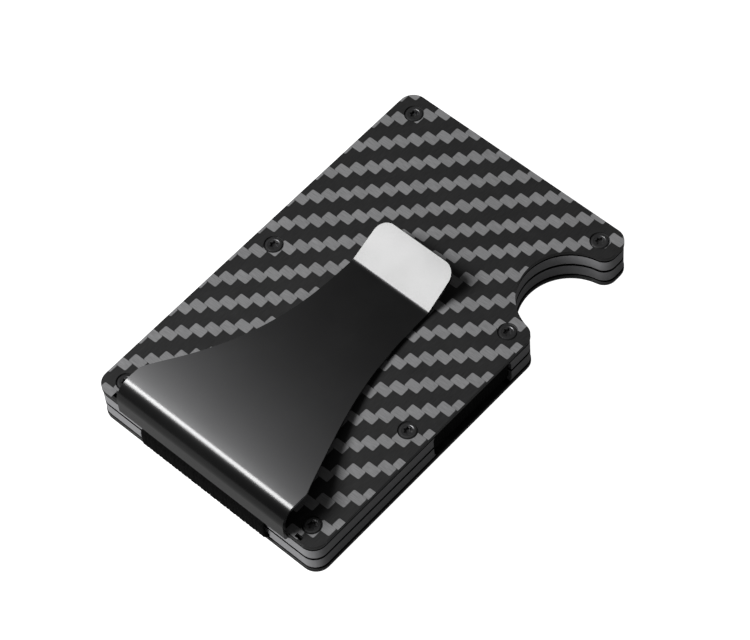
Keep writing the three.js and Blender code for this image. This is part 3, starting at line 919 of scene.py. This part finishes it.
def build_twill():
    tree, entry, end = new_group(
        "carbon twill", {"Tow Across": 1.97, "Tow Along": 1.89}, ("Y Tow", "Relief", "Fibre", "Tow Shade")
    )
    unit = in_millimetres(tree, entry.outputs["Vector"])
    wander = add(tree, "TexNoise", {"Vector": unit, "Scale": 0.11, "Detail": 1.0})
    split = add(tree, "SeparateXYZ", {0: unit})
    bend = add(tree, "SeparateColor", {0: wander.outputs["Color"]})
    bend_x, bend_y = (
        fitted(tree, bend.outputs[k], WEAVE_WANDER, -WEAVE_WANDER / 2) for k in (0, 1)
    )
    x = fitted(tree, split.outputs["Y"], WEAVE_SLANT, split.outputs["X"])
    x = calc(tree, "ADD", x, bend_x)
    y = calc(tree, "ADD", split.outputs["Y"], bend_y)
    u = calc(tree, "ADD", calc(tree, "DIVIDE", x, entry.outputs["Tow Across"]), WEAVE_PHASE[0])
    v = calc(tree, "ADD", calc(tree, "DIVIDE", y, entry.outputs["Tow Along"]), WEAVE_PHASE[1])
    column, row = calc(tree, "FLOOR", u), calc(tree, "FLOOR", v)
    along_y = calc(tree, "FLOORED_MODULO", calc(tree, "ADD", column, v), 4.0)
    along_x = calc(tree, "FLOORED_MODULO", calc(tree, "ADD", u, row), 4.0)
    is_y = calc(tree, "LESS_THAN", along_y, 2.0)

    across = calc(tree, "SUBTRACT", calc(tree, "FRACT", u), 0.5)
    from_side = times(tree, calc(tree, "ABSOLUTE", across), entry.outputs["Tow Across"])
    past_middle = off_from(tree, along_y, 1.0)
    from_end = times(tree, past_middle, entry.outputs["Tow Along"])
    over_side = calc(tree, "MAXIMUM", calc(tree, "SUBTRACT", from_side, BLOCK_HALF_WIDTH), 0.0)
    over_end = calc(tree, "MAXIMUM", calc(tree, "SUBTRACT", from_end, BLOCK_HALF_LENGTH), 0.0)
    corner = calc(tree, "SQRT", fitted(tree, over_side, over_side, times(tree, over_end, over_end)))
    block_mask = times(tree, ramp(tree, corner, 0.38, 0.27), is_y)

    pillow_y = calc(tree, "SINE", times(tree, along_y, math.pi / 2))
    pillow_x = calc(tree, "SINE", times(tree, calc(tree, "SUBTRACT", along_x, 2.0), math.pi / 2))
    pillow = calc(tree, "MAXIMUM", times(tree, pillow_y, is_y),
                  times(tree, pillow_x, calc(tree, "SUBTRACT", 1.0, is_y)))
    relief = calc(tree, "MAXIMUM", pillow, 0.0)

    flat = add(tree, "CombineXYZ", {"X": x, "Y": y}).outputs[0]
    streaks_x, streaks_y = (
        noise(tree, scaled(tree, flat, *stretch), 1.0, 3.0)
        for stretch in ((0.55, 9.0, 1.0), (9.0, 0.55, 1.0))
    )
    fibre = mixed(tree, is_y, streaks_x, streaks_y)
    run = calc(tree, "FLOOR", calc(tree, "ADD", calc(tree, "SUBTRACT", v, along_y), 0.5))
    cells = add(tree, "CombineXYZ", {"X": column, "Y": run, "Z": is_y})
    shade = add(tree, "TexWhiteNoise", {"Vector": cells.outputs[0]}, noise_dimensions="3D")
    made = {"Y Tow": block_mask, "Relief": relief, "Fibre": fibre, "Tow Shade": shade.outputs["Value"]}
    plug_in(tree, end, made)
    return tree


twill = build_twill()
print("twill group:", len(twill.nodes), "nodes")

# %% [markdown]
# ## Node group: fine wear
#
# Nothing that lives in a pocket is perfectly even. This group gives three variations: broad smudges,
# fine scratches, and an even grain. Each finish decides how much of each it takes.

# %% Group: handling marks
def build_handling():
    tree, entry, end = new_group(
        "handling marks", {"Smudge Size": 0.12, "Scratch Angle": 0.6}, ("Smudge", "Scratch", "Grain")
    )
    unit = in_millimetres(tree, entry.outputs["Vector"])
    smudge = noise(tree, unit, entry.outputs["Smudge Size"], 4.0, Roughness=0.55)
    turned_place = add(tree, "VectorRotate", {"Vector": unit, "Angle": entry.outputs["Scratch Angle"]},
                       rotation_type="Z_AXIS")
    stretched = scaled(tree, turned_place.outputs[0], 0.25, 14.0, 14.0)
    scratch, grain = noise(tree, stretched, 1.0, 2.0), noise(tree, unit, 9.0, 2.0)
    marks = {"Smudge": ramp(tree, smudge, 0.35, 0.65), "Scratch": ramp(tree, scratch, 0.66, 0.78)}
    plug_in(tree, end, {**marks, "Grain": grain})
    return tree


handling = build_handling()
print("handling group:", len(handling.nodes), "nodes")

# %% [markdown]
# ## Finish: carbon laminate
#
# The Y tows catch the studio light, and that sheen is painted into the base colour as mid grey; the X
# tows stay nearly black. Their border is crisp, with fine fibre streaks along each tow, and the ends
# of each float, where it dips under the crossing tows, are painted darker as shade. On the routed edge
# the cloth shows as thin layers instead, so a mask from the face's own normal switches the pattern
# there. The inner faces are plain black here, which the height picks out.

# %% Carbon laminate
TOW_SHEEN_GREY = 0.24
DARK_TOW = 0.018
INNER_FACE = TOP / 2 - boxes["lower_carbon_plate"][1].z
FACE_MARGIN = 0.03 * MM


def build_carbon():
    material, tree, shader = new_material("carbon_laminate", Specular_IOR_Level=0.42)
    place = object_coordinates(tree)
    cloth = use_group(tree, twill, {"Vector": place})
    marks = use_group(tree, handling, {"Vector": place, "Scratch Angle": 0.35})
    fibre = ramp(tree, cloth.outputs["Fibre"], 0.3, 0.7, -1.0, 1.0)
    tow_shade = fitted(tree, cloth.outputs["Tow Shade"], 0.03, -0.015)
    # Painted sheen: the Y tows' brightness, where they catch the studio light, is put into the base colour.
    sheen_tow = calc(tree, "ADD", TOW_SHEEN_GREY, fitted(tree, fibre, 0.036, tow_shade))
    dark_tow = fitted(tree, fibre, 0.004, DARK_TOW)
    value = mixed(tree, cloth.outputs["Y Tow"], dark_tow, sheen_tow)
    # Painted shade: each float is darker towards its ends, where it dips under the crossing tows.
    gap = ramp(tree, cloth.outputs["Relief"], 0.0, 0.22, 0.72, 1.0)
    value = times(tree, value, gap)
    normal = add(tree, "SeparateXYZ", {0: add(tree, "TexCoord").outputs["Normal"]})
    is_face = ramp(tree, calc(tree, "ABSOLUTE", normal.outputs["Z"]), 0.5, 0.9)
    from_middle = off_from(tree, height_of(tree, place), TOP / 2)
    is_outer = calc(tree, "GREATER_THAN", from_middle, INNER_FACE + FACE_MARGIN)
    is_face = times(tree, is_face, is_outer)
    thin_layers = scaled(tree, place, 300.0, 300.0, 9000.0)
    edge_value = ramp(tree, noise(tree, thin_layers, 1.0, 2.0), 0.35, 0.7, 0.012, 0.035)
    set_base(tree, shader, mixed(tree, is_face, edge_value, value))
    roughness = fitted(tree, marks.outputs["Smudge"], 0.06, 0.42)
    roughness = fitted(tree, cloth.outputs["Fibre"], 0.08, roughness)
    tree.links.new(roughness, shader.inputs["Roughness"])
    fine = times(tree, cloth.outputs["Fibre"], 0.25)
    set_bump(tree, shader, fitted(tree, cloth.outputs["Relief"], 0.6, fine), 0.35, 0.03 * MM)
    return material


carbon = build_carbon()

# %% [markdown]
# ## Finish: black anodised aluminium
#
# Bead blasting leaves a fine even grain, and the anodising is a hard satin black. The grain goes into
# the bump and the roughness. The stepped edges between the layers, chosen by height, are painted near
# black as shade, to deepen the lines between the layers.

# %% Anodised aluminium
GAP_MIDDLE = (boxes["lower_frame"][1].z + boxes["upper_frame"][0].z) / 2
GAP_HALF = (boxes["upper_frame"][0].z - boxes["lower_frame"][1].z) / 2
STEP_MARGIN = 0.02 * MM
STEP_PAINTED_SHADE = 0.003
FRAME_METALLIC = 0.6


def build_anodised():
    material, tree, shader = new_material(
        "black_anodised_aluminium", Metallic=FRAME_METALLIC, Specular_IOR_Level=0.5
    )
    place = object_coordinates(tree)
    marks = use_group(tree, handling, {"Vector": place, "Smudge Size": 0.3})
    value = fitted(tree, marks.outputs["Grain"], 0.05, 0.15)
    value = fitted(tree, marks.outputs["Scratch"], 0.04, value)
    height = height_of(tree, place)
    # Painted shade: the stepped faces between the layers are made near black and fully metallic, so they
    # reflect almost nothing.
    upper_shaded_step = calc(tree, "GREATER_THAN", height, frame_high - PLATE_REBATE - STEP_MARGIN)
    lower_shaded_step = calc(tree, "LESS_THAN", height, frame_low + PLATE_REBATE + STEP_MARGIN)
    from_gap = off_from(tree, height, GAP_MIDDLE)
    gap_shaded_step = calc(tree, "LESS_THAN", from_gap, GAP_HALF + GAP_REBATE + STEP_MARGIN)
    step = calc(tree, "MAXIMUM", calc(tree, "MAXIMUM", upper_shaded_step, lower_shaded_step), gap_shaded_step)
    set_base(tree, shader, mixed(tree, step, value, STEP_PAINTED_SHADE), blue=1.03)
    metal = fitted(tree, step, 1 - FRAME_METALLIC, FRAME_METALLIC)
    tree.links.new(metal, shader.inputs["Metallic"])
    tree.links.new(fitted(tree, marks.outputs["Grain"], 0.14, 0.38), shader.inputs["Roughness"])
    set_bump(tree, shader, marks.outputs["Grain"], 0.25, 0.02 * MM)
    return material


anodised = build_anodised()

# %% [markdown]
# ## Finish: black oxide steel
#
# The screws are steel with a thin black oxide skin. It is a little uneven from head to head, lighter
# where a driver has scratched it, and finely grained.

# %% Black steel
def build_steel():
    material, tree, shader = new_material("black_steel", Metallic=0.85)
    place = object_coordinates(tree)
    marks = use_group(tree, handling, {"Vector": place, "Scratch Angle": 1.2})
    value = fitted(tree, marks.outputs["Grain"], 0.04, 0.09)
    value = fitted(tree, marks.outputs["Scratch"], 0.05, value)
    set_base(tree, shader, value)
    tree.links.new(fitted(tree, marks.outputs["Smudge"], 0.12, 0.3), shader.inputs["Roughness"])
    set_bump(tree, shader, marks.outputs["Grain"], 0.2, 0.01 * MM)
    return material


steel = build_steel()

# %% [markdown]
# ## Finish: coated spring steel
#
# The clip is polished and then coated almost black, so it mirrors the studio softly. A very fine brush
# line runs along its length. The leaf's colour is graded: greyest just past the fold, and fading away
# towards the lip. That stands in for the soft reflection of a near light.

# %% Coated spring steel
PAINTED_REFLECTION_STRENGTH, PAINTED_REFLECTION_FADE = 0.115, 12 * MM
PAINTED_REFLECTION_FROM = -40 * MM
PAINTED_REFLECTION_EDGE = (-41.7 * MM, -40.6 * MM)


def build_spring():
    material, tree, shader = new_material("coated_spring_steel", Metallic=0.0, Specular_IOR_Level=0.75)
    place = object_coordinates(tree)
    marks = use_group(tree, handling, {"Vector": place, "Smudge Size": 0.06, "Scratch Angle": 0.05})
    value = fitted(tree, marks.outputs["Smudge"], 0.002, 0.004)
    along = add(tree, "SeparateXYZ", {0: place}).outputs["X"]
    # Painted reflection: the base colour is greyest just past the fold and fades towards the lip, in place
    # of a near light's soft reflection.
    distance = calc(tree, "SUBTRACT", PAINTED_REFLECTION_FROM, along)
    glow = calc(tree, "POWER", 2.718, calc(tree, "DIVIDE", distance, PAINTED_REFLECTION_FADE))
    glow = times(tree, glow, ramp(tree, along, *PAINTED_REFLECTION_EDGE))
    value = fitted(tree, glow, PAINTED_REFLECTION_STRENGTH, value)
    set_base(tree, shader, value)
    roughness = fitted(tree, marks.outputs["Smudge"], 0.03, 0.22)
    roughness = fitted(tree, marks.outputs["Scratch"], 0.05, roughness)
    tree.links.new(roughness, shader.inputs["Roughness"])
    set_bump(tree, shader, marks.outputs["Scratch"], 0.06, 0.01 * MM)
    return material


spring = build_spring()

# %% [markdown]
# ## Finish: elastic webbing
#
# Matt black elastic. The ribs are in the mesh. The threads are a bump from a pattern of small cells with
# fine noise over it, and the gaps between them are painted a touch darker than the tops, as shade.

# %% Elastic webbing
def build_webbing():
    material, tree, shader = new_material(
        "elastic_webbing", Metallic=0.0, Specular_IOR_Level=0.1, Roughness=0.9
    )
    place = object_coordinates(tree)
    unit = in_millimetres(tree, place)
    threads = add(tree, "TexVoronoi", {"Vector": unit, "Scale": 2.6}, feature="F1")
    fuzz = noise(tree, unit, 6.0, 3.0)
    # Painted shade: the base colour is a touch darker in the gaps between threads than on their tops.
    thread_gap_shade = ramp(tree, threads.outputs["Distance"], 0.0, 0.5, 0.004, 0.0)
    set_base(tree, shader, fitted(tree, fuzz, 0.004, thread_gap_shade), blue=1.0)
    height = fitted(tree, threads.outputs["Distance"], -1.0, fuzz)
    set_bump(tree, shader, height, 0.8, 0.12 * MM)
    return material


webbing = build_webbing()
print("materials:", [m.name for m in (carbon, anodised, steel, spring, webbing)])

# %% [markdown]
# ## Each piece takes its finish, its CAD node and, where it has one, its body
#
# A piece rides on the body of the CAD node that it stands for. The clip and the bands reach across a
# joint: the clip turns over a few millimetres at the top of its fold, and the bands stretch where they
# stand upright. Here they take no body, and their place is baked into their meshes.

# %% Dress and attach
def attach(piece, material, nodes, body=None):
    piece.data.materials.clear()
    piece.data.materials.append(material)
    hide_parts(*nodes)
    if body:
        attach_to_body(piece, body)


attach(upper_plate, carbon, ["upper_carbon_plate"], "upper_half")
attach(lower_plate, carbon, ["lower_carbon_plate"], "lower_half")
attach(upper_frame, anodised, ["upper_frame"], "upper_half")
attach(lower_frame, anodised, ["lower_frame"], "lower_half")
for screw in (*upper_screws, *lower_screws, *clip_screws):
    half = "lower_half" if screw in lower_screws else "upper_half"
    attach(screw, steel, [screw.name.removesuffix("_visual")], half)
attach(clip, spring, ["clip_base", "clip_arm"])
attach(cross_band, webbing, ["cross_band"])
attach(end_band, webbing, ["end_band"])

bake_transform(cross_band)
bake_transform(end_band)
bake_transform(clip)

# %% [markdown]
# ## Studio
#
# A plain white floor that glows for the camera, as a lit table does, and lets the camera look up
# through it from below. The key softbox stands behind the clip's end and skips the clip. A small card
# close above the clip is mirrored in its fold and its lip, and shines on nothing else. A low card
# lights only the frames. The surround is dim.

# %% Floor and lights
FLOOR_GLOW, FLOOR_FILL, FLOOR_GREY = 1.0, 0.09, 0.24
deselect()
bpy.ops.mesh.primitive_plane_add(size=6, location=(0, 0, -0.02 * MM))
floor = bpy.context.object
floor.name = "floor"
floor_material, floor_tree, floor_shader = new_material("white_floor", Roughness=0.9, Specular_IOR_Level=0.0)
floor_shader.inputs["Base Color"].default_value = (FLOOR_GREY, FLOOR_GREY, FLOOR_GREY, 1)
floor_shader.inputs["Emission Color"].default_value = (1, 1, 1, 1)
seen = add(floor_tree, "LightPath").outputs["Is Camera Ray"]
underneath = add(floor_tree, "NewGeometry").outputs["Backfacing"]
floor_tree.links.new(calc(floor_tree, "SUBTRACT", 1.0, underneath), floor_shader.inputs["Alpha"])
glow = fitted(floor_tree, seen, FLOOR_GLOW, FLOOR_FILL)
floor_tree.links.new(glow, floor_shader.inputs["Emission Strength"])
floor.data.materials.append(floor_material)

world = bpy.data.worlds.new("studio")
world.use_nodes = True
world.node_tree.nodes["Background"].inputs["Color"].default_value = (1, 1, 1, 1)
world.node_tree.nodes["Background"].inputs["Strength"].default_value = 0.07
bpy.context.scene.world = world
bpy.context.scene.view_settings.view_transform = "Standard"


def softbox(name, place, facing_from, size, radiance, lights=(), spares=()):
    """A rectangular light. It lights only some pieces, or all but some."""
    width, height = size
    deselect()
    bpy.ops.object.light_add(type="AREA", location=place)
    light = bpy.context.object
    light.name = name
    light.rotation_euler = facing_from.to_track_quat("Z", "Y").to_euler()
    light.data.shape = "RECTANGLE"
    light.data.size, light.data.size_y = width, height
    light.data.energy = radiance * math.pi * width * height
    light.visible_camera = False
    if lights or spares:
        receivers = bpy.data.collections.new(name + "_receivers")
        for piece in (*lights, *spares):
            receivers.objects.link(piece)
        for entry in receivers.collection_objects:
            entry.light_linking.link_state = "INCLUDE" if lights else "EXCLUDE"
        light.light_linking.receiver_collection = receivers
    print(name, "power", round(light.data.energy, 3), "W")


KEY_FROM = Vector((-0.482, 0.402, 0.776))
KEY_PLACE, KEY_SIZE, KEY_RADIANCE = AIM + KEY_FROM * 0.75, (0.34, 0.30), 18.0
CARD_FROM = Vector((0, 0, 1))
CARD_PLACE, CARD_SIZE, CARD_RADIANCE = Vector((-41.5 * MM, 45 * MM, 97 * MM)), (0.033, 0.085), 15.0
END_FROM = Vector((-0.95, 0.26, 0.2))
END_PLACE, END_SIZE, END_RADIANCE = AIM + END_FROM * 0.6, (0.3, 0.2), 42.0
softbox("key", KEY_PLACE, KEY_FROM, KEY_SIZE, KEY_RADIANCE, spares=[clip])
softbox("clip_card", CARD_PLACE, CARD_FROM, CARD_SIZE, CARD_RADIANCE, lights=[clip])
softbox("end_card", END_PLACE, END_FROM, END_SIZE, END_RADIANCE, lights=[upper_frame, lower_frame])
